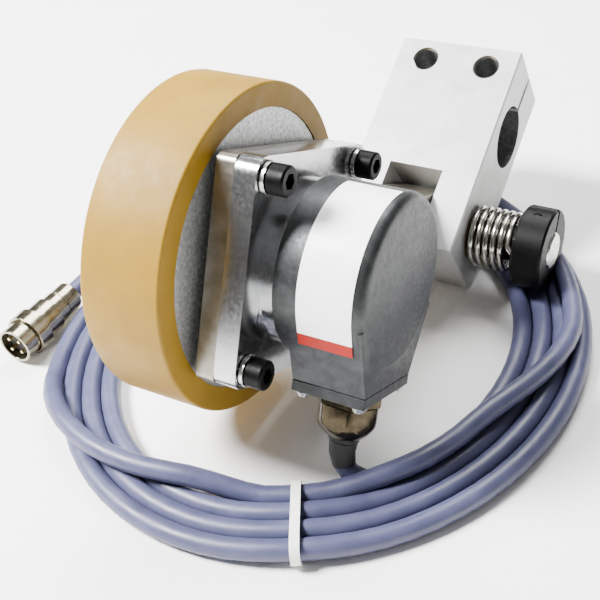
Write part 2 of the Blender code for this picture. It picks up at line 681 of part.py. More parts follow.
def foot_outline():
    """The foot's outline across the encoder: its sides run into the round cover almost as tangents."""
    round_radius = COVER_RADIUS - CLEAR
    reach = math.hypot(FOOT_HALF_WIDTH, FOOT_DROP)
    angle = math.atan2(-FOOT_DROP, FOOT_HALF_WIDTH) + math.acos(round_radius / reach)
    y = round_radius * math.cos(angle)
    z = round_radius * math.sin(angle)
    half = [(FOOT_HALF_WIDTH, -FOOT_DROP), (y, z), (COVER_INNER_RADIUS / 2, 0.0)]
    return half + [(-y, z) for y, z in reversed(half)]


def plate_screw_spots():
    inset = FOOT_WALL / 2
    for x in (FOOT_START + inset, COVER_END - inset):
        for y in (FOOT_HALF_WIDTH - inset, inset - FOOT_HALF_WIDTH):
            yield x, y


def make_cover():
    profile = [(COVER_START, 0.0), (COVER_START, COVER_RADIUS)]
    steps = 4
    for step in range(steps + 1):
        angle = math.pi / 2 * step / steps
        x = COVER_END - COVER_FILLET + COVER_FILLET * math.sin(angle)
        profile.append((x, COVER_RADIUS - COVER_FILLET + COVER_FILLET * math.cos(angle)))
    profile.append((COVER_END, 0.0))
    cover = turned("encoder_cover", profile, encoder_frame, CAST, sides=FINE)
    foot = prism("cover_foot", foot_outline(), FOOT_START, COVER_END - CLEAR, encoder_frame, CAST)
    join(cover, foot)
    cup_end = COVER_END - COVER_WALL
    well = FOOT_HALF_WIDTH - FOOT_WALL
    well_low = (FOOT_START + FOOT_WALL, -well, -FOOT_DROP - PAST)
    well_high = (COVER_END - FOOT_WALL, well, 0.0)
    inside = rod("cover_inside", COVER_START - PAST, cup_end, COVER_INNER_RADIUS, encoder_frame, CAST, FINE)
    join(inside, block("foot_well", well_low, well_high, encoder_frame, CAST))
    cut(cover, inside)

    outline = [
        (FOOT_START, -FOOT_HALF_WIDTH), (COVER_END - CLEAR, -FOOT_HALF_WIDTH),
        (COVER_END - CLEAR, FOOT_HALF_WIDTH), (FOOT_START, FOOT_HALF_WIDTH),
    ]
    plate = prism("foot_plate", outline, PLATE_BOTTOM, PLATE_TOP, encoder_frame, CAST, along="Z")
    gland_hole = rod(
        "gland_hole", PLATE_BOTTOM - PAST, PLATE_TOP + PAST, GLAND_THREAD_RADIUS + CLEAR,
        gland_frame, CAST, along="Z",
    )
    cut(plate, gland_hole)
    head_top = PLATE_BOTTOM - CLEAR
    head_end = head_top - PLATE_SCREW_HEAD_HEIGHT
    shank_end = PLATE_BOTTOM + PLATE_SCREW_LENGTH
    head = [(head_end, 0.0), (head_end, PLATE_SCREW_HEAD_RADIUS * 0.6), (head_top, PLATE_SCREW_HEAD_RADIUS)]
    head += [(head_top, PLATE_SCREW_RADIUS), (shank_end, PLATE_SCREW_RADIUS), (shank_end, 0.0)]
    for number, (x, y) in enumerate(plate_screw_spots(), 1):
        turned(
            f"plate_screw_{number}", head, encoder_frame, STEEL,
            sides=SMALL, along="Z", location=(x, y, 0.0),
        )
        hole = rod(
            f"plate_screw_hole_{number}", head_top, shank_end + CLEAR, PLATE_SCREW_RADIUS + CLEAR,
            encoder_frame, STEEL, sides=SMALL, along="Z", location=(x, y, 0.0),
        )
        cut(plate, hole)
        cut(cover, hole)


# Circuit board on its standoffs, with the reading head that faces the code disc


def make_board(disc_end):
    head_start = disc_end + CLEAR
    board_start = head_start + HEAD_LENGTH + CLEAR
    board_end = board_start + BOARD_THICKNESS
    tube("circuit_board", board_start, board_end, SHAFT_RADIUS, BOARD_RADIUS, encoder_frame, BOARD)
    head_low = (head_start, -HEAD_SIDE / 2, DISC_RADIUS - HEAD_SIDE)
    head_high = (head_start + HEAD_LENGTH, HEAD_SIDE / 2, DISC_RADIUS)
    block("reading_head", head_low, head_high, encoder_frame, RUBBER)
    ring = (DISC_RADIUS + BOARD_RADIUS) / 2
    for number in range(3):
        angle = math.radians(90.0 + 120.0 * number + 60.0)
        spot = (0.0, ring * math.cos(angle), ring * math.sin(angle))
        rod(
            f"board_standoff_{number + 1}", SPIGOT_END + CLEAR, board_start - CLEAR, STANDOFF_RADIUS,
            encoder_frame, STEEL, sides=SMALL, location=spot,
        )


# Cable gland under the foot plate


def make_gland():
    body = prism("gland_body", hexagon(GLAND_HEX), GLAND_HEX_END, GLAND_TOP, gland_frame, NICKEL, along="Z")
    thread_top = PLATE_TOP + FOOT_PLATE
    thread = rod(
        "gland_thread", GLAND_TOP - GLAND_HEX_HEIGHT / 2, thread_top, GLAND_THREAD_RADIUS,
        gland_frame, NICKEL, along="Z",
    )
    join(body, thread)
    seal_hole = GLAND_SEAL_RADIUS + CLEAR
    bore = rod(
        "gland_bore", GLAND_NUT_END - PAST, thread_top + PAST, CABLE_HOLE,
        gland_frame, NICKEL, along="Z",
    )
    cut(body, bore)

    nut = prism(
        "gland_nut", hexagon(GLAND_NUT_HEX), GLAND_NUT_END, GLAND_NUT_TOP,
        gland_frame, NICKEL, along="Z",
    )
    round_radius = GLAND_NUT_HEX / 2 * 1.1
    dome = [(GLAND_NUT_TOP + PAST, 0.0), (GLAND_NUT_TOP + PAST, round_radius)]
    steps = 5
    for step in range(steps + 1):
        share = step / steps
        fall = GLAND_NUT_HEIGHT * (0.45 + 0.55 * share)
        radius = round_radius - (round_radius - GLAND_NUT_MOUTH) * share**2
        dome.append((GLAND_NUT_TOP - fall, radius))
    dome.append((GLAND_NUT_END, 0.0))
    cross(nut, turned("nut_dome", dome, gland_frame, NICKEL, along="Z"))
    hole = rod(
        "gland_nut_hole", GLAND_NUT_END - PAST, GLAND_NUT_TOP + PAST, seal_hole,
        gland_frame, NICKEL, along="Z",
    )
    cut(nut, hole)
    tube(
        "gland_seal", GLAND_SEAL_END, GLAND_NUT_TOP, CABLE_HOLE, GLAND_SEAL_RADIUS,
        gland_frame, RUBBER, along="Z",
    )


# Coil of cable on the floor: a wide low band, taller at the left where a strand crosses the others


def coil_section(angle):
    """The coil's inner and outer point at an angle, its underside and its top."""
    away = Vector((math.cos(angle), math.sin(angle)))
    outer = COIL_CENTRE + Vector((COIL_HALF_WIDTH * away.x, COIL_HALF_DEPTH * away.y))
    band = COIL_BAND_BACK if away.y > 0 else COIL_BAND_FRONT
    half_width = COIL_HALF_WIDTH - COIL_BAND_X
    half_depth = COIL_HALF_DEPTH - band
    inner = COIL_CENTRE + Vector((half_width * away.x, half_depth * away.y))
    from_crossing = math.remainder(angle - CROSSING_ANGLE, 2 * math.pi) / CROSSING_REACH
    top = COIL_LOW + (COIL_TALL - COIL_LOW) * math.exp(-from_crossing * from_crossing)
    from_tie = math.remainder(angle - TIE_ANGLE, 2 * math.pi) / math.radians(12.0)
    under = (TIE_THICKNESS + TIE_SLACK) * math.exp(-from_tie * from_tie)
    return inner, outer, under, top


def coil_outline(angle):
    """The coil's outline across its band: each corner's share of the way outwards, and height."""
    inner, outer, under, top = coil_section(angle)
    shoulder = 0.05 + 0.5 * (top - COIL_LOW) / COIL_TALL
    outline = [(0.0, under), (0.0, COIL_LOW * 0.9), (shoulder, top)]
    outline += [(0.9, top), (1.0, top - CABLE_RADIUS), (1.0, under)]
    return inner, outer, outline


def make_coil():
    mesh = bmesh.new()
    rings = []
    count = FINE
    for step in range(count):
        inner, outer, outline = coil_outline(2 * math.pi * step / count)
        ring = []
        for share, height in outline:
            point = inner.lerp(outer, share)
            ring.append(mesh.verts.new((point.x, point.y, height)))
        rings.append(ring)
    for step in range(count):
        first = rings[step]
        second = rings[(step + 1) % count]
        for corner in range(len(first)):
            after = (corner + 1) % len(first)
            mesh.faces.new((first[corner], first[after], second[after], second[corner]))
    place("cable_coil", mesh, floor_frame, CABLE)


def grown(outline, by):
    """A convex outline, given clockwise, with each side moved outwards by the same distance."""
    moved = []
    for before, corner, after in zip(outline[-1:] + outline, outline, outline[1:] + outline[:1]):
        first = (corner - before).normalized()
        second = (after - corner).normalized()
        first_out = Vector((-first.y, first.x))
        second_out = Vector((-second.y, second.x))
        middle = (first_out + second_out).normalized()
        moved.append(corner + middle * by / middle.dot(first_out))
    return moved


def make_tie():
    """A flat strap looped round the coil across its band, clear of it by the tie's slack."""
    inner, outer, outline = coil_outline(TIE_ANGLE)
    band = (outer - inner).length
    out = (outer - inner).normalized()
    along = Vector((-out.y, out.x)) * TIE_WIDTH / 2
    corners_of_coil = [Vector((share * band, height)) for share, height in outline]
    mesh = bmesh.new()
    loops = []
    for grow in (TIE_SLACK, TIE_SLACK + TIE_THICKNESS):
        spots = grown(corners_of_coil, grow)
        for side in (-1, 1):
            loop = []
            for spot in spots:
                place_of_spot = inner + out * spot.x + along * side
                loop.append(mesh.verts.new((place_of_spot.x, place_of_spot.y, spot.y)))
            loops.append(loop)
    for step in range(len(outline)):
        after = (step + 1) % len(outline)
        for first, second in ((0, 1), (1, 3), (3, 2), (2, 0)):
            a = loops[first]
            b = loops[second]
            mesh.faces.new((a[step], a[after], b[after], b[step]))
    place("cable_tie", mesh, floor_frame, NYLON)


# The two free ends of the cable: from the gland down to the coil, and from the coil to the plug


def smooth(points, spacing):
    """Points at about an even spacing on a smooth curve through the route's own points."""
    spots = [Vector(p) for p in points]
    spots = [spots[0] * 2 - spots[1]] + spots + [spots[-1] * 2 - spots[-2]]
    line = []
    for before, start, end, after in zip(spots, spots[1:], spots[2:], spots[3:]):
        steps = max(1, round((end - start).length / spacing))
        for step in range(steps):
            t = step / steps
            pull = (before * -1 + start * 3 - end * 3 + after) * t**3
            bend = (before * 2 - start * 5 + end * 4 - after) * t**2
            line.append((pull + bend + (end - before) * t + start * 2) / 2)
    line.append(spots[-2])
    return line


def cable_run(name, points, parent):
    curve = bpy.data.curves.new(name, "CURVE")
    curve.dimensions = "3D"
    curve.bevel_depth = CABLE_RADIUS
    curve.bevel_resolution = 2
    curve.use_fill_caps = True
    line = curve.splines.new("POLY")
    route = smooth(points, CABLE_RADIUS * 2.5)
    line.points.add(len(route) - 1)
    for spot, point in zip(line.points, route):
        spot.co = (*point, 1.0)
    curve.materials.append(CABLE)
    run = bpy.data.objects.new(name, curve)
    bpy.context.scene.collection.objects.link(run)
    run.parent = parent


LEAD_DROP = 4.6 * MM
TAIL_POINTS = [(-73.0, 107.75), (-78.65, 101.85), (-83.85, 95.4), (-91.6, 84.6)]
TAIL_POINTS += [(-98.6, 72.0), (-104.6, 57.0), (-108.6, 42.0), (-110.0, 30.0)]


def make_cable_ends():
    lead_start = GLAND_SEAL_END - CLEAR
    cable_run("cable_lead", [(0.0, 0.0, lead_start), (0.0, 0.0, lead_start - LEAD_DROP)], gland_frame)
    plug_end = PLUG_PLACE.y + PLUG_LENGTH + PLUG_BACK_LENGTH + PLUG_NUT_LENGTH + 3 * CLEAR
    tail = []
    for number, (x, y) in enumerate(TAIL_POINTS):
        share = number / (len(TAIL_POINTS) - 1)
        height = CABLE_RADIUS + (PLUG_RING_RADIUS - CABLE_RADIUS) * share * share
        tail.append((x * MM, y * MM, height))
    tail.append((PLUG_PLACE.x, plug_end, PLUG_RING_RADIUS))
    cable_run("cable_tail", tail, floor_frame)


# Round plug at the far end: sleeve, coupling ring, insert with pins, back shell and clamp nut


def make_plug():
    tube("plug_sleeve", 0.0, PLUG_LENGTH, PLUG_RADIUS - PLUG_WALL, PLUG_RADIUS, plug_frame, NICKEL)
    ring_end = PLUG_LENGTH - CLEAR
    tube(
        "plug_coupling_ring", ring_end - PLUG_RING_WIDTH, ring_end, PLUG_RADIUS + CLEAR,
        PLUG_RING_RADIUS, plug_frame, NICKEL,
    )
    insert_radius = PLUG_RADIUS - PLUG_WALL - CLEAR
    rod("plug_insert", PLUG_INSERT_DEPTH, PLUG_LENGTH, insert_radius, plug_frame, RUBBER)
    back_start = PLUG_LENGTH + CLEAR
    back_end = back_start + PLUG_BACK_LENGTH
    step = back_start + PLUG_BACK_LENGTH * 0.6
    back = [(back_start, CABLE_HOLE), (back_start, PLUG_RADIUS), (step, PLUG_RADIUS)]
    back += [(step, PLUG_RADIUS - PLUG_WALL), (back_end, PLUG_RADIUS - PLUG_WALL), (back_end, CABLE_HOLE)]
    turned("plug_back_shell", back, plug_frame, NICKEL)
    nut_start = back_end + CLEAR
    nut_end = nut_start + PLUG_NUT_LENGTH
    nut = [(nut_start, CABLE_HOLE), (nut_start, PLUG_NUT_RADIUS)]
    nut += [(nut_end - PLUG_WALL, PLUG_NUT_RADIUS), (nut_end, PLUG_NUT_RADIUS - PLUG_WALL)]
    nut += [(nut_end, CABLE_HOLE)]
    turned("plug_clamp_nut", nut, plug_frame, NICKEL)
    pin_end = PLUG_INSERT_DEPTH - CLEAR
    for number in range(4):
        angle = math.pi / 4 + number * math.pi / 2
        spot = (0.0, PIN_CIRCLE * math.cos(angle), PIN_CIRCLE * math.sin(angle))
        rod(
            f"contact_pin_{number + 1}", pin_end - PIN_LENGTH, pin_end, PIN_RADIUS,
            plug_frame, PINS, sides=SMALL, location=spot,
        )


make_wheel()
disc_end = make_shaft()
flange = make_flange()
arm = make_arm()
make_flange_bolts(flange, arm)
make_pivot()
make_spring()
make_clevis()
make_cover()
make_board(disc_end)
make_gland()
make_coil()
make_tie()
make_cable_ends()
make_plug()
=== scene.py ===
# %% [markdown]
# # A measuring wheel encoder on a pale studio floor
#
# The object is a rotary encoder that measures length: a soft wheel rolls on the goods and turns a
# shaft, and a cover at the other end hides the disc that is read. It hangs on a swing arm and a
# clamp block, and its cable lies coiled on the floor around it. The solids come from a CAD model
# that is loaded as a fixed frame. This script gives them their finishes and lays the cable.

import json
import math

import bmesh
import bpy
from mathutils import Matrix, Quaternion, Vector


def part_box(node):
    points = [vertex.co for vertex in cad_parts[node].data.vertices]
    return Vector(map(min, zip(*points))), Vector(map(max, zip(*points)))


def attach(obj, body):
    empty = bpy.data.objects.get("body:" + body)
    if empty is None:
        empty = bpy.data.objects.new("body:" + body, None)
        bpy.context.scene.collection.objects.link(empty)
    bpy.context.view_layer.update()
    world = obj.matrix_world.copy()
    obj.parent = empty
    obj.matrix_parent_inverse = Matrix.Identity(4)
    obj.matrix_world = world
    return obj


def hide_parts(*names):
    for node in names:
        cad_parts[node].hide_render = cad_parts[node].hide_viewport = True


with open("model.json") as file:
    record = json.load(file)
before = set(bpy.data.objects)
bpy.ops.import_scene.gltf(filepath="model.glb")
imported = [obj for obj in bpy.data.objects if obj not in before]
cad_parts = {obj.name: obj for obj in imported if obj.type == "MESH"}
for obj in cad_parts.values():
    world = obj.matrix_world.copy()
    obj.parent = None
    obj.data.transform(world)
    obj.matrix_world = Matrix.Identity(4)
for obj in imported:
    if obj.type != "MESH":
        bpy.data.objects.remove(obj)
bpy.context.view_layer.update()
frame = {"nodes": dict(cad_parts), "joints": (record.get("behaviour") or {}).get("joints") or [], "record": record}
MM = 0.001
body_of_node = {n: b for b, nodes in frame["record"]["behaviour"]["bodies"].items() for n in nodes}
joint_place = {j["name"]: Vector(j["pos_m"]) for j in frame["joints"]}

# %% [markdown]
# ## Where things are
#
# Two places drive the rest. The wheel's axis runs along X, and the encoder leans back around it, so
# a point on the encoder is easiest to give in the encoder's own axes and then turn. The cable's
# route is given from the point on the floor under the wheel's axis.

# %% Places
LEAN = math.radians(26.0)
wheel_axis = joint_place["wheel_spin"]
under_axis = Vector((wheel_axis.x, wheel_axis.y, 0.0))
encoder_place = Matrix.Translation(wheel_axis) @ Matrix.Rotation(-LEAN, 4, "X")
print("wheel axis:", [round(x, 4) for x in wheel_axis])

# %% [markdown]
# ## The camera
#
# The viewing angle comes first, because every later choice is judged through it. A camera can be
# placed by its matrix, but a place, a point that it looks at and a small roll say the same thing in
# words that can be changed one at a time.

# %% Camera
CAMERA_PLACE = Vector((129.2, -251.3, 237.1)) * MM
CAMERA_LOOKS_AT = Vector((-27.7, -15.4, 14.9)) * MM
CAMERA_ROLL = math.radians(-7.65)
CAMERA_LENS = 63.8
CAMERA_SENSOR = 36.0

camera = bpy.data.objects.new("photo_camera", bpy.data.cameras.new("photo_camera"))
bpy.context.scene.collection.objects.link(camera)
camera.location = CAMERA_PLACE
aim = (CAMERA_LOOKS_AT - CAMERA_PLACE).to_track_quat("-Z", "Y")
camera.rotation_euler = (aim @ Quaternion((0.0, 0.0, 1.0), CAMERA_ROLL)).to_euler()
camera.data.lens = CAMERA_LENS
camera.data.sensor_width = CAMERA_SENSOR
camera.data.dof.use_dof = False
bpy.context.scene.camera = camera
print("camera is", round((CAMERA_PLACE - wheel_axis).length, 3), "m from the wheel axis")

# %% [markdown]
# ## The cable's route
#
# The cable leaves the gland, drops to the floor and winds outwards in a flat ring of a little over
# four turns. On the right, four strands lie side by side with a fifth on top. On the left each one
# moves out by its own width, and the outermost swings wide, climbs over the rest and lies down on
# the inside. The ring is lifted a little where the tie passes under it. A simulation could drop a
# rope, but a worked-out ring is exact and its strands keep a set distance. So each pass is a formula
# in the angle round the ring, and only the two free ends are listed points.

# %% Sizes of the coil
# Lengths are in millimetres. Angles are in degrees from the right, counterclockwise from above.
CABLE_DIAMETER = 6.4
RING_CENTRE = Vector((-14.5, 31.0))
RING_HALF_WIDTH = 86.5
RING_HALF_DEPTH = 97.0
RING_STEP = 5.0
RING_START = -34.0
FULL_TURN = 360.0
LAST_TURN = 4
LAST_ANGLE = 137.0
STRAND_PITCH = 6.42
FLOOR_LAYER = CABLE_DIAMETER / 2
CLIMB = 5.75  # to the top layer, in the valley between two strands
STEP_OVER = 0.9  # more height, where a strand crosses the crests of others
TIE_ANGLE = -65.0
TIE_LIFT = 1.3
TIE_LIFT_REACH = 12.0
print("ring:", 2 * RING_HALF_WIDTH, "by", 2 * RING_HALF_DEPTH, "mm")


# %% Passes round the ring
SIDE_STEP = (160.0, 215.0)  # where the first pass moves out by one pitch
SIDE_STEP_SOONER = 5.0  # by how much each later pass does so sooner
CROSS_PITCHES = 4
CROSS_IN = (212.0, 282.0)  # where the outermost pass swings in over the others
CROSS_UP = (206.0, 232.0)
CROSS_DOWN = (262.0, 288.0)
TO_TOP_OUT = (296.0, 326.0)  # where it then moves half a pitch out and climbs on top
TO_TOP_UP = (296.0, 322.0)
TOP_PITCHES = 2.5  # how far inside the edge the pass on top begins
TOP_OUT_PITCHES = 2
TOP_OUT = (-20.0, 20.0)
TOP_OVER_UP = (-24.0, -14.0)
TOP_OVER_DOWN = (12.0, 22.0)
LEAVE_PITCHES = 1.55  # how far it moves out when it leaves the ring for the plug
LEAVE_OUT = (60.0, 118.0)
LEAVE_OVER_UP = (60.0, 80.0)
LEAVE_DOWN = (96.0, 132.0)


def ease(value, start, end):
    """0 before start, 1 after end, and a soft step between them."""
    share = min(1.0, max(0.0, (value - start) / (end - start)))
    return share * share * (3 - 2 * share)


def hump(value, up, down):
    """A soft step up over one range and down again over another."""
    return ease(value, *up) * (1 - ease(value, *down))


def ring_point(angle, inward, height):
    """A point that lies a distance inside the ring's outer edge, at an angle in degrees."""
    away = Vector((math.cos(math.radians(angle)), math.sin(math.radians(angle))))
    edge = Vector((RING_HALF_WIDTH * away.x, RING_HALF_DEPTH * away.y))
    normal = Vector((away.x / RING_HALF_WIDTH, away.y / RING_HALF_DEPTH)).normalized()
    spot = RING_CENTRE + edge - normal * inward
    return (spot.x, spot.y, height)


def strand(turn, angle):
    """How far inside the edge, and how high, a pass lies; angles run on from where the ring starts."""
    inward = FLOOR_LAYER + STRAND_PITCH * (LAST_TURN - 1 - turn)
    height = FLOOR_LAYER
    if turn < LAST_TURN:
        sooner = SIDE_STEP_SOONER * turn
        inward -= STRAND_PITCH * ease(angle, SIDE_STEP[0] - sooner, SIDE_STEP[1] - sooner)
    if turn == LAST_TURN - 1:
        inward += STRAND_PITCH * CROSS_PITCHES * ease(angle, *CROSS_IN)
        inward -= STRAND_PITCH / 2 * ease(angle, *TO_TOP_OUT)
        height += (CLIMB + STEP_OVER) * hump(angle, CROSS_UP, CROSS_DOWN)
        height += CLIMB * ease(angle, *TO_TOP_UP)
    if turn == LAST_TURN:
        pitches = TOP_PITCHES - TOP_OUT_PITCHES * ease(angle, *TOP_OUT)
        pitches -= LEAVE_PITCHES * ease(angle, *LEAVE_OUT)
        inward = FLOOR_LAYER + STRAND_PITCH * pitches
        height += CLIMB * (1 - ease(angle, *LEAVE_DOWN))
        height += STEP_OVER * hump(angle, TOP_OVER_UP, TOP_OVER_DOWN)
        height += STEP_OVER * hump(angle, LEAVE_OVER_UP, LEAVE_DOWN)
    from_tie = math.remainder(angle - TIE_ANGLE, FULL_TURN) / TIE_LIFT_REACH
    return inward, height + TIE_LIFT * math.exp(-from_tie * from_tie)


at_tie = strand(0, FULL_TURN + TIE_ANGLE)
print("first pass at the tie:", round(at_tie[0], 2), "mm in,", round(at_tie[1], 2), "mm up")

# %% Route of the cable
LEAD_POINTS = [
    (19.75, -21.39, 15.94),
    (19.75, -23.0, 12.6),
    (20.6, -24.2, 9.0),
    (22.6, -24.4, 6.0),
    (26.6, -23.6, 4.1),
    (31.0, -20.6, 3.3),
    (34.8, -16.4, 3.2),
]
TAIL_POINTS = [
    (-91.6, 84.6, 3.4),
    (-98.6, 72.0, 4.3),
    (-104.6, 57.0, 5.6),
    (-108.6, 42.0, 7.0),
    (-110.0, 30.0, 7.7),
    (-110.0, 11.9, 7.7),
]
route = list(LEAD_POINTS)
sweep = LAST_TURN * FULL_TURN + LAST_ANGLE - RING_START
for step in range(int(sweep // RING_STEP) + 1):
    turn, past_start = divmod(step * RING_STEP, FULL_TURN)
    angle = RING_START + past_start
    route.append(ring_point(angle, *strand(turn, angle)))
route += TAIL_POINTS
route = [under_axis + Vector(p) * MM for p in route]

# %% [markdown]
# ## Colours and nodes
#
# Colours are picked as sRGB hex values, as a paint card gives them, while the shader works in linear
# light, so one function turns the first into the second. One more adds a node with its settings and
# links. Every finish here is then one recipe: a noise for its clouds or specks of colour, one for
# its dull and shiny spots, and one for the small unevenness of its skin, each with a grain in
# millimetres. Pictures of real surfaces could do this too, but noise has no seams and no fixed size.


# %% Helpers for finishes
NOISE_RANGE = (0.3, 0.7)  # most of a noise's values lie in here
NOISE_ROUGHNESS = 0.6
SOFT_DETAIL = (3.0, 3.0, 3.0)


def colour(code):
    """An sRGB hex colour as linear red, green, blue and alpha."""
    channels = [int(code[i : i + 2], 16) / 255 for i in (0, 2, 4)]
    return (*[c / 12.92 if c <= 0.04045 else ((c + 0.055) / 1.055) ** 2.4 for c in channels], 1.0)


def add(tree, kind, settings=(), links=()):
    """A node of that kind. Settings are its values or its inputs', and links go into its inputs."""
    node = tree.nodes.new(kind)
    for key, value in dict(settings).items():
        if hasattr(node, key):
            setattr(node, key, value)
        else:
            node.inputs[key].default_value = value
    for key, source in dict(links).items():
        tree.links.new(source, node.inputs[key])
    return node


def make_finish(name, hues, rough, bump, grains, details=SOFT_DETAIL, settings=()):
    """A material from two colours, two roughnesses and a bump depth in millimetres.

    The grains are the sizes in millimetres of the noise for the colour, the roughness and the bump.
    """
    made = bpy.data.materials.new(name)
    made.use_nodes = True
    tree = made.node_tree
    shader = tree.nodes["Principled BSDF"]
    for key, value in dict(settings).items():
        shader.inputs[key].default_value = value
    where = {"Vector": add(tree, "ShaderNodeTexCoord").outputs["Object"]}
    noises = []
    for grain, detail in zip(grains, details):
        values = {"Scale": 1 / (grain * MM), "Detail": detail, "Roughness": NOISE_ROUGHNESS}
        noises.append(add(tree, "ShaderNodeTexNoise", values, where).outputs["Fac"])
    ramp = add(tree, "ShaderNodeValToRGB", {}, {"Fac": noises[0]})
    for stop, position, code in zip(ramp.color_ramp.elements, NOISE_RANGE, hues):
        stop.position = position
        stop.color = colour(code)
    values = dict(zip(("From Min", "From Max", "To Min", "To Max"), (*NOISE_RANGE, *rough)))
    dull = add(tree, "ShaderNodeMapRange", values, {"Value": noises[1]})
    values = {"Strength": 1.0, "Distance": bump * MM}
    uneven = add(tree, "ShaderNodeBump", values, {"Height": noises[2]})
    tree.links.new(ramp.outputs["Color"], shader.inputs["Base Color"])
    tree.links.new(dull.outputs["Result"], shader.inputs["Roughness"])
    tree.links.new(uneven.outputs["Normal"], shader.inputs["Normal"])
    return made


print("sRGB 808080 is", round(colour("808080")[0], 3), "in linear light")

# %% [markdown]
# ## Finishes of the wheel
#
# The tread is polyurethane that was cast in a mould, and the wheel behind it is sand-cast aluminium
# that was only faced. Both could be one flat colour with a roughness, but the eye knows cast things
# by their uneven skin, so both get clouds or specks.

# %% Tread and hub
# Cast polyurethane is matte and a little waxy, with faint clouds in its tan and weak highlights. The
# skin from the mould is finer than 0.9 mm, and is drawn that coarse so that it shows.
tan_tread = make_finish(
    "cast_polyurethane",
    hues=("82620A", "8E6D13"),
    rough=(0.48, 0.62),
    bump=0.03,
    grains=(14.0, 5.0, 0.9),
    settings={"IOR": 1.5, "Specular IOR Level": 0.25},
)
# Sand-cast aluminium glitters in light and dark specks about a millimetre across.
cast_hub = make_finish(
    "sand_cast_aluminium",
    hues=("8E8F90", "CACBCB"),
    rough=(0.4, 0.6),
    bump=0.06,
    grains=(1.0, 0.9, 0.8),
    details=(5.0, 3.0, 5.0),
    settings={"Metallic": 0.9},
)
print("wheel finishes:", tan_tread.name, cast_hub.name)

# %% [markdown]
# ## Finishes of the encoder and its mounting
#
# All of this is aluminium, and what tells the pieces apart is how each was made: turned, sawn from
# bar, blasted, die cast or bored. One grey for all would be quicker, but then they would read as one
# lump. So each has its own grey, its own shine and its own grain, and the holes' darker grey is
# painted shade. Tool marks and grit are a tenth of a millimetre or so on real parts, and are drawn
# several times as coarse so that they show.

# %% Aluminium finishes
# The flange, from a lathe, is bright and nearly a mirror, with soft clouds in its reflections.
turned = make_finish(
    "turned_aluminium",
    hues=("ABACAE", "C2C3C5"),
    rough=(0.14, 0.24),
    bump=0.004,
    grains=(10.0, 1.0, 2.5),
    settings={"Metallic": 1.0},
)
# The arm is bar stock with its sawn and drawn skin left on, so it is duller and a little brown.
sawn_bar = make_finish(
    "sawn_bar_aluminium",
    hues=("7C776C", "969187"),
    rough=(0.28, 0.36),
    bump=0.0015,
    grains=(6.0, 3.0, 2.0),
    settings={"Metallic": 1.0},
)
# Blasting scatters the light, so the clamp block is pale and satin and hardly mirrors anything.
blasted = make_finish(
    "blasted_aluminium",
    hues=("ABACAB", "BFC0C0"),
    rough=(0.38, 0.5),
    bump=0.012,
    grains=(9.0, 0.8, 0.8),
    details=(3.0, 4.0, 4.0),
    settings={"Metallic": 0.25},
)
# The cover is mottled dark grey, with a soft shine where the metal met the die.
die_cast = make_finish(
    "die_cast_aluminium",
    hues=("2C2D2E", "414344"),
    rough=(0.36, 0.54),
    bump=0.03,
    grains=(4.0, 1.2, 1.0),
    details=(6.0, 3.0, 4.0),
    settings={"Metallic": 0.75},
)
# The wall of a drilled or bored hole is rough from the cutter, and its darker grey is painted shade inside the
# hole.
bore_wall_and_shade = make_finish(
    "bore_wall_painted_shade_aluminium",
    hues=("5E5F60", "868788"),
    rough=(0.5, 0.5),
    bump=0.02,
    grains=(1.0, 1.0, 1.0),
    settings={"Metallic": 0.7},
)
aluminiums = (turned, sawn_bar, blasted, die_cast, bore_wall_and_shade)
print("aluminium finishes:", [made.name for made in aluminiums])

# %% [markdown]
# ## Finishes of the steel and plated pieces
#
# Washers, shaft ends and the spring are bright drawn steel. The cap screws and the collar have black
# oxide, a thin dark skin. The gland and the plug are brass with nickel plate, which is warmer than
# steel. They differ in colour and shine far more than in pattern, so one function makes them all,
# with one noise in three roles. Drawing marks are too fine to see at this distance, and are drawn as
# spots of 0.6 to 3 mm.


# %% Steel and plated finishes
DRAWN_BUMP = 0.002
DRAWN_DETAIL = (4.0, 4.0, 4.0)


def drawn_metal(name, hues, rough, grain, metallic=1.0, shine=0.5):
    """A smooth metal whose colour, shine and skin vary together."""
    settings = {"Metallic": metallic, "Specular IOR Level": shine}
    return make_finish(name, hues, rough, DRAWN_BUMP, (grain,) * 3, DRAWN_DETAIL, settings)


# Drawn steel is bright and clean, and the spring's wire is a little darker and shinier.
bright_steel = drawn_metal("drawn_steel", ("B4B3AF", "DAD9D5"), (0.18, 0.32), 2.0)
spring_steel = drawn_metal("spring_wire_steel", ("A7A49C", "C9C6BE"), (0.14, 0.22), 3.0)
# A dark, warm steel with a dull shine; on the pivot shaft its darkness is painted shade from the spring wound
# round it.
shaded_shaft_steel = drawn_metal("painted_shade_shaft_steel", ("16130F", "221E19"), (0.3, 0.4), 3.0, 0.6)
# Black oxide hides the metal, so it shades like a dark coat with weak highlights on its edges.
black_steel = drawn_metal("black_oxide_steel", ("020202", "060505"), (0.38, 0.52), 1.5, 0.0, 0.1)
# Nickel plate gives sharp, warm reflections. On the gland it is painted brown and dark, which is painted shade.
nickel = drawn_metal("nickel_plated_brass", ("8F8873", "A8A18C"), (0.16, 0.28), 3.0)
shaded_nickel = drawn_metal("painted_shade_nickel_plate", ("2B261C", "423B2E"), (0.16, 0.28), 2.0)
# Sintered bronze is grainy and matte, and gold plate is smooth and yellow.
bronze = drawn_metal("sintered_bronze", ("8A6A3C", "B08D58"), (0.4, 0.6), 0.6)
gold = drawn_metal("gold_plated_brass", ("C9B27A", "E3D2A4"), (0.15, 0.28), 0.6)
# The code disc is etched steel, which is smooth and grey.
etched = drawn_metal("etched_disc_steel", ("6C6C70", "8C8C90"), (0.2, 0.3), 1.0)
print("metal finishes:", bright_steel.name, black_steel.name, nickel.name)

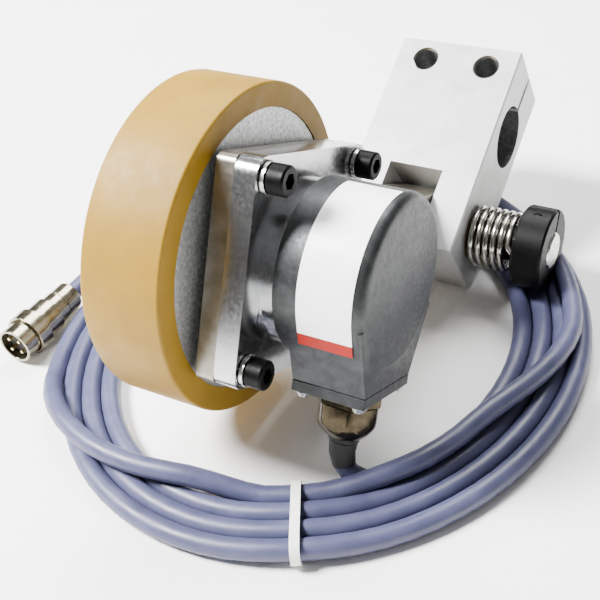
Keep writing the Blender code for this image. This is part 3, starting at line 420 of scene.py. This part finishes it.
# %% [markdown]
# ## Finishes of the plastics and rubber
#
# The cable jacket is extruded PVC, the tie is natural nylon, and the plug's insert is black moulded
# plastic. A plain colour would look like paint. Plastics have faint, wide clouds and a finer skin
# from the die or the mould, so one function makes the skin a sixth as wide as the clouds.


# %% Plastic and rubber finishes
SKIN_SHARE = 6


def moulded(name, hues, rough, grain, bump, ior=1.5, shine=0.5):
    """A plastic, rubber, film or paper with faint clouds and a finer skin."""
    settings = {"IOR": ior, "Specular IOR Level": shine}
    return make_finish(name, hues, rough, bump, (grain, grain, grain / SKIN_SHARE), settings=settings)


# Extruded PVC is a smooth lilac grey with a long soft highlight, and a faint waviness from the die.
jacket = moulded("extruded_pvc", ("3E405A", "484A66"), (0.36, 0.5), 7.0, 0.02, 1.53, 0.35)
# Natural nylon is a milky white with a soft gloss.
nylon = moulded("natural_nylon", ("E9E9E6", "F6F6F4"), (0.35, 0.5), 4.0, 0.02, 1.53)
# Moulded plastic keeps a slight shine, and rubber is nearly matte.
black_plastic = moulded("black_moulded_plastic", ("101011", "1C1C1E"), (0.4, 0.55), 2.0, 0.02)
rubber = moulded("black_nitrile_rubber", ("0D0D0E", "191919"), (0.6, 0.75), 1.5, 0.03)
# A circuit board is glass fibre under green lacquer.
board_green = moulded("glass_fibre_board", ("0F4A26", "1A5E33"), (0.4, 0.5), 2.0, 0.01)
print("plastic finishes:", jacket.name, nylon.name, black_plastic.name)

# %% [markdown]
# ## The cable
#
# The cable is one round jacket from the gland to the plug. Swept rings of vertices could make it,
# but a curve with a round bevel is the natural way: its line is the route, and the bevel gives the
# jacket. It stands for the three plain CAD pieces that hold its place. Where it leaves the gland, a
# short dark sleeve that tapers is painted shade on the cable, and is a second, fatter curve on the same line.


# %% Cable
SHADE_SLEEVE_RADIUS = 4.3 * MM
SHADE_SLEEVE_END_SHARE = 0.8
SHADE_SLEEVE_POINTS = 3  # of the route


def wire(name, points, radius, finish, sides=5, end_share=1.0):
    """A round wire or jacket along points; its far end is that share of the radius at its start."""
    curve = bpy.data.curves.new(name, "CURVE")
    curve.dimensions = "3D"
    curve.bevel_depth = radius
    curve.bevel_resolution = sides
    curve.use_fill_caps = True
    line = curve.splines.new("POLY")
    line.points.add(len(points) - 1)
    for step, (spot, point) in enumerate(zip(line.points, points)):
        spot.co = (*point, 1.0)
        spot.radius = 1 + (end_share - 1) * step / (len(points) - 1)
    line.use_smooth = True
    curve.materials.append(finish)
    made = bpy.data.objects.new(name, curve)
    bpy.context.scene.collection.objects.link(made)
    return made


cable = wire("cable", route, CABLE_DIAMETER / 2 * MM, jacket)
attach(cable, "encoder_arm")
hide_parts("cable_lead", "cable_coil", "cable_tail")
# A dark, fatter sleeve on the route's first points is painted shade on the cable below the gland.
shade_sleeve = wire("gland_shade_sleeve", route[:SHADE_SLEEVE_POINTS], SHADE_SLEEVE_RADIUS, rubber, end_share=SHADE_SLEEVE_END_SHARE)
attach(shade_sleeve, "encoder_arm")
print("cable pieces:", cable.name, shade_sleeve.name)

# %% [markdown]
# ## Dressing the CAD pieces
#
# The CAD solids have true sizes but razor edges and flat shading. Real parts have a small broken
# edge that catches the light. Modelling each piece again would lose the true sizes, so each visible
# piece is copied, welded, given a fine bevel and smooth shading, and set in the place of its node.
# The pieces that are shut inside keep their CAD meshes.


# %% Helpers for dressing
SMOOTH_UNDER = math.radians(32.0)
BEVEL_OVER = math.radians(35.0)
FLAT_UNDER = math.radians(0.4)
WELD = 0.002 * MM
EDGE_SEGMENTS = 2


def ready(name, shape, finish, body):
    """Turns a bmesh into a smooth piece with its finish, riding on a body."""
    bmesh.ops.recalc_face_normals(shape, faces=shape.faces)
    for face in shape.faces:
        face.smooth = True
    mesh = bpy.data.meshes.new(name)
    shape.to_mesh(mesh)
    shape.free()
    mesh.set_sharp_from_angle(angle=SMOOTH_UNDER)
    mesh.materials.append(finish)
    piece = bpy.data.objects.new(name, mesh)
    bpy.context.scene.collection.objects.link(piece)
    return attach(piece, body)


def dress(node, finish, edge):
    """A smooth copy of a CAD node with its edges broken by that many millimetres."""
    shape = bmesh.new()
    shape.from_mesh(frame["nodes"][node].data)
    bmesh.ops.remove_doubles(shape, verts=shape.verts, dist=WELD)
    bmesh.ops.dissolve_limit(shape, angle_limit=FLAT_UNDER, verts=shape.verts, edges=shape.edges)
    piece = ready(f"{node}_dressed", shape, finish, body_of_node[node])
    if edge:
        bevel = piece.modifiers.new("broken_edge", "BEVEL")
        bevel.width = edge * MM
        bevel.segments = EDGE_SEGMENTS
        bevel.limit_method = "ANGLE"
        bevel.angle_limit = BEVEL_OVER
        bevel.harden_normals = True
    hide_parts(node)
    return piece


print("edges sharper than", round(math.degrees(BEVEL_OVER)), "degrees get a bevel")

# %% Dress every piece
# Each slot has a finish and the width of its broken edges in millimetres.
FINISHES = {
    "cast_hub": (cast_hub, 0.4),
    "cast_cover": (die_cast, 0.8),
    "machined_aluminium": (turned, 0.5),
    "clevis_aluminium": (blasted, 0.3),
    "black_oxide_steel": (black_steel, 0.15),
    "bright_steel": (bright_steel, 0.1),
    "sintered_bronze": (bronze, 0.1),
    "nickel_plate": (nickel, 0.15),
    "printed_disc": (etched, 0.0),
    "board": (board_green, 0.0),
    "black_plastic": (black_plastic, 0.1),
    "black_rubber": (rubber, 0.1),
    "gold_plate": (gold, 0.1),
}
# The gland's darker nickel is painted shade.
OWN_FINISH = {"swing_arm": sawn_bar, "gland_body": shaded_nickel, "gland_nut": shaded_nickel}
MADE_HERE = ("wheel_tread", "torsion_spring", "cable_tie")
SHUT_INSIDE = ("bearing", "disc", "board", "reading_head", "oring", "shaft_seal")
dressed = {}
for sub_part in frame["record"]["subparts"]:
    node = sub_part["node"]
    slot = sub_part["material_slot"]
    if slot == "grey_pvc" or node in MADE_HERE:
        continue
    finish, edge = FINISHES[slot]
    finish = OWN_FINISH.get(node, finish)
    if any(word in node for word in SHUT_INSIDE):
        mesh = frame["nodes"][node].data
        mesh.materials.clear()
        mesh.materials.append(finish)
    else:
        dressed[node] = dress(node, finish, edge)
print("dressed pieces:", len(dressed))

# %% [markdown]
# ## The pivot shaft
#
# The shaft that the clamp block swings on is painted dark and brownish along its length, which is
# painted shade from the spring wound round it, and bright on its ends. Two objects could show that.
# One mesh with two materials is simpler, because a face's own direction tells an end from the side.

# %% Pivot shaft
FACES_AN_END = 0.5
pivot_mesh = dressed["pivot_shaft"].data
# The second material paints shade along the shaft's length, where the spring wraps it.
pivot_mesh.materials.append(shaded_shaft_steel)
for face in pivot_mesh.polygons:
    face.material_index = 0 if abs(face.normal.x) > FACES_AN_END else 1
# These are the faces that carry the painted shade.
print("browned faces:", sum(face.material_index for face in pivot_mesh.polygons))

# %% [markdown]
# ## The clamp block's holes
#
# The bore and the two screw holes are painted darker than the blasted faces: the cutter left a rough
# wall, and the darker grey is painted shade inside the holes. Their facets are found by place and size
# and given a finish of their own. A countersink is cut at the mouth of each screw hole, as a drill
# leaves one on the real block. A Boolean with a cone could cut it, but a bevel on those edges alone
# needs no second object. It comes before the fine bevel on all the other edges.

# %% Holes in the clamp block
BORE_REACH = 11.6 * MM
HOLE_FACET = 30.0 * MM * MM
HOLES_WITHIN = 18.0 * MM
ALONG_THE_HOLE = 0.1
COUNTERSINK = 0.7 * MM
TOUCHING = 0.1 * MM
bore_low, bore_high = frame["record"]["physics"]["openings"][0]["box_m"]
bore_middle = (Vector(bore_low) + Vector(bore_high)) / 2
mounts = {mount["name"]: mount for mount in frame["record"]["mounts"]}
front_place = Vector(mounts["clevis_front_face"]["pos_m"])
front_way = Vector(mounts["clevis_front_face"]["axis"])
clevis = dressed["clevis_block"]
# The holes' darker finish is painted shade.
clevis.data.materials.append(bore_wall_and_shade)
clevis.data.materials.append(sawn_bar)
kinds_at_edge = {}
for face in clevis.data.polygons:
    in_bore = (face.center - bore_middle).yz.length < BORE_REACH
    is_facet = face.area < HOLE_FACET and abs(face.normal.dot(front_way)) < ALONG_THE_HOLE
    in_hole = is_facet and abs(face.center.x - bore_middle.x) < HOLES_WITHIN
    face.material_index = 1 if in_bore or in_hole else 0
    for key in face.edge_keys:
        kinds_at_edge.setdefault(key, set()).add(in_hole)
mouths = clevis.data.attributes.new("bevel_weight_edge", "FLOAT", "EDGE")
for line in clevis.data.edges:
    start = clevis.data.vertices[line.vertices[0]].co
    on_front = (start - front_place).dot(front_way) > -TOUCHING
    mouths.data[line.index].value = float(on_front and len(kinds_at_edge[line.key]) == 2)
countersink = clevis.modifiers.new("countersink", "BEVEL")
countersink.limit_method = "WEIGHT"
countersink.width = COUNTERSINK
countersink.segments = 1
countersink.use_clamp_overlap = False
countersink.material = 2
clevis.modifiers.move(1, 0)
print("countersunk edges:", sum(mark.value > 0 for mark in mouths.data))

# %% [markdown]
# ## The tread
#
# The tread is the largest round thing in view, so its outline has to be smooth. Dressing its CAD
# solid would keep that solid's facets. So it is turned here from a short profile, with many more
# sides, and with a small round on each edge.


# %% Tread
TREAD_SIDES = 144
TREAD_ROUND = 0.8 * MM
TREAD_ROUND_STEPS = 4
TREAD_FIT = 0.1 * MM


def turn_profile(name, profile, sides, finish, body):
    """A ring turned round the wheel's axis from points given as a place along X and a radius."""
    shape = bmesh.new()
    rings = []
    for step in range(sides):
        turn = 2 * math.pi * step / sides
        ring = []
        for along, radius in profile:
            away = Vector((0.0, math.cos(turn), math.sin(turn))) * radius
            ring.append(shape.verts.new(Vector((along, wheel_axis.y, wheel_axis.z)) + away))
        rings.append(ring)
    for step in range(sides):
        a, b = rings[step], rings[(step + 1) % sides]
        for corner in range(len(profile)):
            after = (corner + 1) % len(profile)
            shape.faces.new((a[corner], a[after], b[after], b[corner]))
    return ready(name, shape, finish, body)


tread_low, tread_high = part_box("wheel_tread")
hub_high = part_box("wheel_hub")[1]
tread_radius = tread_high.z - wheel_axis.z
tread_bore = hub_high.z - wheel_axis.z + TREAD_FIT
profile = [(tread_low.x, tread_bore)]
for middle, start in ((tread_low.x + TREAD_ROUND, 180.0), (tread_high.x - TREAD_ROUND, 90.0)):
    for step in range(TREAD_ROUND_STEPS + 1):
        turn = math.radians(start - 90.0 * step / TREAD_ROUND_STEPS)
        round_high = tread_radius - TREAD_ROUND + TREAD_ROUND * math.sin(turn)
        profile.append((middle + TREAD_ROUND * math.cos(turn), round_high))
profile.append((tread_high.x, tread_bore))
tread = turn_profile("wheel_tread_turned", profile, TREAD_SIDES, tan_tread, "wheel")
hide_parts("wheel_tread")
print("tread:", round(tread_radius / MM * 2, 1), "mm across")

# %% [markdown]
# ## The spring
#
# A torsion spring of round wire sits on the pivot between the clamp block and the collar. A screw
# modifier could wind it, but a curve along a helix keeps the wire round at any pitch, and its last
# points can turn off along the shaft, as the real end does.

# %% Spring
SPRING_TURNS = 5.4
SPRING_STEPS = 36  # in each turn
SPRING_RADIUS = 9.6 * MM
SPRING_WIRE = 1.0 * MM
SPRING_END_ANGLE = math.radians(150.0)
HOOK_ROOM = 3.4 * SPRING_WIRE
HOOK_AHEAD = 0.8 * MM
HOOK_ASIDES = (0.2 * MM, 0.6 * MM, 0.9 * MM)
spring_low, spring_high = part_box("torsion_spring")
pivot = joint_place["clevis_swing"]
wound = spring_high.x - spring_low.x - HOOK_ROOM
all_steps = int(SPRING_TURNS * SPRING_STEPS)
spring_points = []
for step in range(all_steps + 1):
    share = step / all_steps
    turn = SPRING_END_ANGLE - 2 * math.pi * SPRING_TURNS * (1 - share)
    away = Vector((0.0, math.cos(turn), math.sin(turn))) * SPRING_RADIUS
    along = spring_low.x + SPRING_WIRE + wound * share
    spring_points.append(Vector((along, pivot.y, pivot.z)) + away)
heading = (spring_points[-1] - spring_points[-2]).normalized()
for aside in HOOK_ASIDES:
    bent = heading * HOOK_AHEAD + Vector((aside, 0.0, 0.0))
    spring_points.append(spring_points[-1] + bent)
spring = wire("torsion_spring_wound", spring_points, SPRING_WIRE, spring_steel)
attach(spring, "encoder_arm")
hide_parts("torsion_spring")
print("spring:", SPRING_TURNS, "turns")

# %% [markdown]
# ## The tie
#
# A nylon tie pulls the strands together at the front. A bent box could stand for it, but a real tie
# is a flat strap that lies on the outside of the bundle. So in each direction round the bundle, the
# strand that reaches furthest carries it.

# %% Tie
TIE_WIDTH = 2.8
TIE_THICKNESS = 1.1
TIE_GAP = 0.06
TIE_STEPS = 64
A_LITTLE = 0.5  # of a degree, to either side of the tie
bundle = [Vector(strand(turn, FULL_TURN + TIE_ANGLE)) for turn in range(LAST_TURN)]
before_tie = Vector(ring_point(TIE_ANGLE - A_LITTLE, 0.0, 0.0))
after_tie = Vector(ring_point(TIE_ANGLE + A_LITTLE, 0.0, 0.0))
along_ring = (after_tie - before_tie).normalized() * TIE_WIDTH / 2
strap = bmesh.new()
loops = []
for step in range(TIE_STEPS):
    turn = 2 * math.pi * step / TIE_STEPS
    out = Vector((math.cos(turn), math.sin(turn)))
    furthest = max(bundle, key=lambda centre: centre.dot(out))
    loop = []
    for grow, side in ((0.0, -1), (0.0, 1), (TIE_THICKNESS, 1), (TIE_THICKNESS, -1)):
        reach = furthest + out * (CABLE_DIAMETER / 2 + TIE_GAP + grow)
        spot = Vector(ring_point(TIE_ANGLE, reach.x, reach.y)) + along_ring * side
        loop.append(strap.verts.new(under_axis + spot * MM))
    loops.append(loop)
for step in range(TIE_STEPS):
    a, b = loops[step], loops[(step + 1) % TIE_STEPS]
    for corner in range(4):
        after = (corner + 1) % 4
        strap.faces.new((a[corner], a[after], b[after], b[corner]))
tie = ready("cable_tie_strap", strap, nylon, "encoder_arm")
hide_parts("cable_tie")
print("tie round", len(bundle), "strands")

# %% [markdown]
# ## The label on the cover
#
# A plain white film label wraps round the side of the cover, with a red-orange band at its lower
# end. Painting it in the cover's material would be easy, but a real label is a thin sheet with its
# own edge and gloss, so it is a thin curved shell just proud of the cover.

# %% Label
COVER_RADIUS = 25.4
FOOT_TANGENT = -22.7  # degrees, where the cover's round side runs on into its straight foot
LABEL_FROM = 11.8
LABEL_TO = 28.0
LABEL_HIGH = 84.0
BAND_FROM_TANGENT = 4.0
BAND_HEIGHT = 3.6
LABEL_FILM = 0.12
LABEL_LIFT = 0.03
FILM_STEP = 1.2


def down_the_side(distance, lift):
    """A point on the cover's near side: round above the foot's tangent, and straight below it."""
    turn = math.radians(FOOT_TANGENT)
    if distance < 0:
        turn -= distance / COVER_RADIUS
    radius = COVER_RADIUS + lift
    spot = Vector((0.0, -radius * math.cos(turn), radius * math.sin(turn)))
    if distance > 0:
        spot += Vector((0.0, -math.sin(turn), -math.cos(turn))) * distance
    return spot


def curved_film(name, top, bottom, finish):
    """A thin sheet down the cover's side, between two distances from the foot's tangent."""
    shape = bmesh.new()
    steps = max(2, round((bottom - top) / FILM_STEP))
    rows = []
    for step in range(steps + 1):
        distance = top + (bottom - top) * step / steps
        corners = []
        for lift in (LABEL_LIFT, LABEL_LIFT + LABEL_FILM):
            for along in (LABEL_FROM, LABEL_TO):
                spot = down_the_side(distance, lift) + Vector((along, 0.0, 0.0))
                corners.append(shape.verts.new(encoder_place @ (spot * MM)))
        rows.append(corners)
    for a, b in zip(rows, rows[1:]):
        for first, second in ((0, 1), (1, 3), (3, 2), (2, 0)):
            shape.faces.new((a[first], a[second], b[second], b[first]))
    for end in (rows[0], rows[-1]):
        shape.faces.new((end[0], end[1], end[3], end[2]))
    return ready(name, shape, finish, "encoder_arm")


# Polyester film is a clean white with an even, soft gloss. The ink on the band dulls it a little.
white_film = moulded("white_polyester_film", ("F2F2F0", "FAFAF9"), (0.3, 0.4), 6.0, 0.005)
red_film = moulded("red_printed_film", ("840C00", "901201"), (0.35, 0.45), 6.0, 0.005, shine=0.2)
label_top = -math.radians(LABEL_HIGH - FOOT_TANGENT) * COVER_RADIUS
label_end = BAND_FROM_TANGENT + BAND_HEIGHT
label = curved_film("label_white", label_top, BAND_FROM_TANGENT, white_film)
label_band = curved_film("label_band", BAND_FROM_TANGENT, label_end, red_film)
print("label pieces:", label.name, label_band.name)

# %% [markdown]
# ## The plug's pieces
#
# The plug and the tie go with the cable, and the plug's pieces are listed here by name.

plug_nodes = ["plug_sleeve", "plug_coupling_ring", "plug_insert", "plug_back_shell", "plug_clamp_nut"]
plug_nodes += [f"contact_pin_{n}" for n in range(1, 5)]
print("with the cable go the tie and", len(plug_nodes), "pieces of the plug")

# %% [markdown]
# ## Floor and light
#
# The floor is a plain pale sheet of paper that is larger than the view. One light from the upper
# left does most of the work, and a wider, weaker one above and behind lifts the tops and edges. A
# picture of a studio could light the rest, but a sky in a few steps of grey is enough: white
# overhead and darker lower down, it gives the bright metal something to reflect, and an even grey
# along the horizon stays calm behind the object in low views.

# %% Floor
FLOOR_HALF = 4.0
FLOOR_BELOW = 0.2 * MM
floor_mesh = bpy.data.meshes.new("studio_floor")
signs = ((-1, -1), (1, -1), (1, 1), (-1, 1))
corners = [(x * FLOOR_HALF, y * FLOOR_HALF, -FLOOR_BELOW) for x, y in signs]
floor_mesh.from_pydata(corners, [], [(0, 1, 2, 3)])
# Paper is matte and nearly white, and its clouds are too faint and wide to notice.
floor_mesh.materials.append(moulded("pale_paper", ("F4F3F1", "F7F6F4"), (0.8, 0.9), 60.0, 0.01))
floor = bpy.data.objects.new("studio_floor", floor_mesh)
bpy.context.scene.collection.objects.link(floor)
print("floor:", FLOOR_HALF * 2, "m wide")


# %% Lights
def soft_light(name, place, size, power):
    """A round light of that size in metres and power in watts, which faces the object."""
    lamp = bpy.data.lights.new(name, "AREA")
    lamp.shape = "DISK"
    lamp.size = size
    lamp.energy = power
    light = bpy.data.objects.new(name, lamp)
    bpy.context.scene.collection.objects.link(light)
    light.location = place
    light.rotation_euler = (-Vector(place)).to_track_quat("-Z", "Y").to_euler()
    return light


key_light = soft_light("key_light", place=(-0.65, -0.35, 0.9), size=0.4, power=80.0)
top_light = soft_light("top_light", place=(-0.2, 0.7, 1.1), size=0.8, power=34.0)
print("lights:", key_light.name, top_light.name)

# %% Sky
# Each step is a height, where 0 is the horizon and 1 is overhead, and the colour from there.
SKY_STEPS = ((0.0, "C5C3BF"), (0.12, "C5C3BF"), (0.17, "9D9A96"), (0.55, "FFFFFF"))
SKY_STRENGTH = 0.32
sky = bpy.data.worlds.new("studio_sky")
bpy.context.scene.world = sky
sky.use_nodes = True
sky_tree = sky.node_tree
way = add(sky_tree, "ShaderNodeTexCoord").outputs["Generated"]
height = add(sky_tree, "ShaderNodeSeparateXYZ", {}, {"Vector": way}).outputs["Z"]
fade = add(sky_tree, "ShaderNodeValToRGB", {}, {"Fac": height})
stops = fade.color_ramp.elements
while len(stops) < len(SKY_STEPS):
    stops.new(0.5)
for stop, (position, code) in zip(stops, SKY_STEPS):
    stop.position = position
    stop.color = colour(code)
backdrop = sky_tree.nodes["Background"]
sky_tree.links.new(fade.outputs["Color"], backdrop.inputs["Color"])
backdrop.inputs["Strength"].default_value = SKY_STRENGTH
print("sky:", len(stops), "steps")
